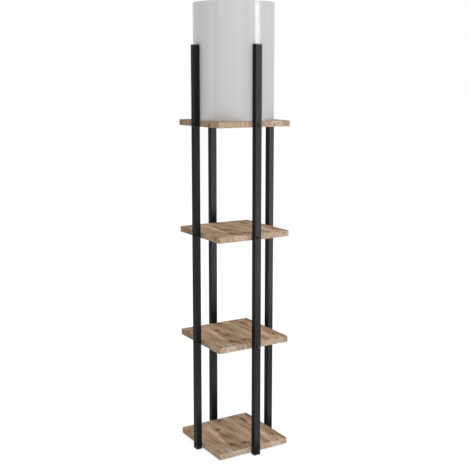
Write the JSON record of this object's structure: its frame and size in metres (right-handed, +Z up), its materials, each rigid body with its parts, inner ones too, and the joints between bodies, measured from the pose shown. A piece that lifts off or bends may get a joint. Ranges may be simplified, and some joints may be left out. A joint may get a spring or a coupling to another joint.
{
  "type": "floor lamp",
  "caption": "Floor lamp that is also a shelf unit: square boards between tube posts, with a tall cylindrical shade over a screw-in bulb on the top board.",
  "frame": {"origin": "on the floor at the middle of the feet, below the centre of the shelves", "axes": "+Z up; X and Y square to the shelves' sides, with a post at the middle of each side; the lamp is alike on all of them"},
  "size_m": [0.2926, 0.2926, 1.393],
  "materials": {
    "post_steel": "satin black powder coat",
    "black_plastic": "matt black moulded plastic",
    "black_screw_steel": "black plated steel",
    "shelf_board": "particle board with a matt knotty wood print",
    "shelf_edging": "thin edge band with a matt wood print",
    "zinc_steel": "bright zinc plated",
    "white_thermoset": "white heat-proof moulding",
    "brass": "plain brass sheet",
    "solder": "solder",
    "black_glass": "black glassy insulator",
    "nickel_cap": "nickel plated sheet",
    "bulb_white": "white moulded plastic",
    "circuit_board": "white solder mask",
    "led_yellow": "phosphor resin",
    "bulb_diffuser": "opal plastic",
    "shade_opal": "glossy opal white plastic sheet"
  },
  "bodies": {
    "frame": {"post_right": "post_steel", "post_right_cap": "black_plastic", "post_right_foot": "black_plastic", "post_right_screws": "black_screw_steel", "post_back": "post_steel", "post_back_cap": "black_plastic", "post_back_foot": "black_plastic", "post_back_screws": "black_screw_steel", "post_left": "post_steel", "post_left_cap": "black_plastic", "post_left_foot": "black_plastic", "post_left_screws": "black_screw_steel", "post_front": "post_steel", "post_front_cap": "black_plastic", "post_front_foot": "black_plastic", "post_front_screws": "black_screw_steel", "shelf_1_board": "shelf_board", "shelf_1_edging": "shelf_edging", "shelf_1_inserts": "zinc_steel", "shelf_2_board": "shelf_board", "shelf_2_edging": "shelf_edging", "shelf_2_inserts": "zinc_steel", "shelf_3_board": "shelf_board", "shelf_3_edging": "shelf_edging", "shelf_3_inserts": "zinc_steel", "shelf_4_board": "shelf_board", "shelf_4_edging": "shelf_edging", "shelf_4_inserts": "zinc_steel", "holder_nipple": "zinc_steel", "holder_washer": "zinc_steel", "holder_nut": "zinc_steel", "holder_seat": "black_plastic", "cord_inlet_bush": "black_plastic", "holder_cup": "black_plastic", "holder_shell": "black_plastic", "holder_contact_block": "white_thermoset", "holder_centre_contact": "brass", "holder_terminals": "brass", "holder_sleeve": "brass", "holder_terminal_screws": "zinc_steel"},
    "shade": {"shade": "shade_opal"},
    "bulb_screw": {"bulb_tip": "solder"},
    "bulb": {"bulb_insulator": "black_glass", "bulb_screw_cap": "nickel_cap", "bulb_housing": "bulb_white", "bulb_driver_board": "circuit_board", "bulb_led_board": "circuit_board", "bulb_leds": "led_yellow", "bulb_globe": "bulb_diffuser"}
  },
  "joints": [
    {"name": "shade_lift", "type": "slide", "parent": "frame", "child": "shade", "axis": [0, 0, 1], "range_m": [0, 0.24]},
    {"name": "bulb_rise", "type": "slide", "parent": "frame", "child": "bulb_screw", "axis": [0, 0, 1], "range_m": [0, 0.0163]},
    {"name": "bulb_turn", "type": "hinge", "parent": "bulb_screw", "child": "bulb", "pos_m": [0, 0, 1.0758], "axis": [0, 0, 1], "range_deg": [0, 1620]}
  ],
  "couplings": [
    {"joint": "bulb_rise", "follows": "bulb_turn", "m_per_rad": 0.00057614}
  ]
}
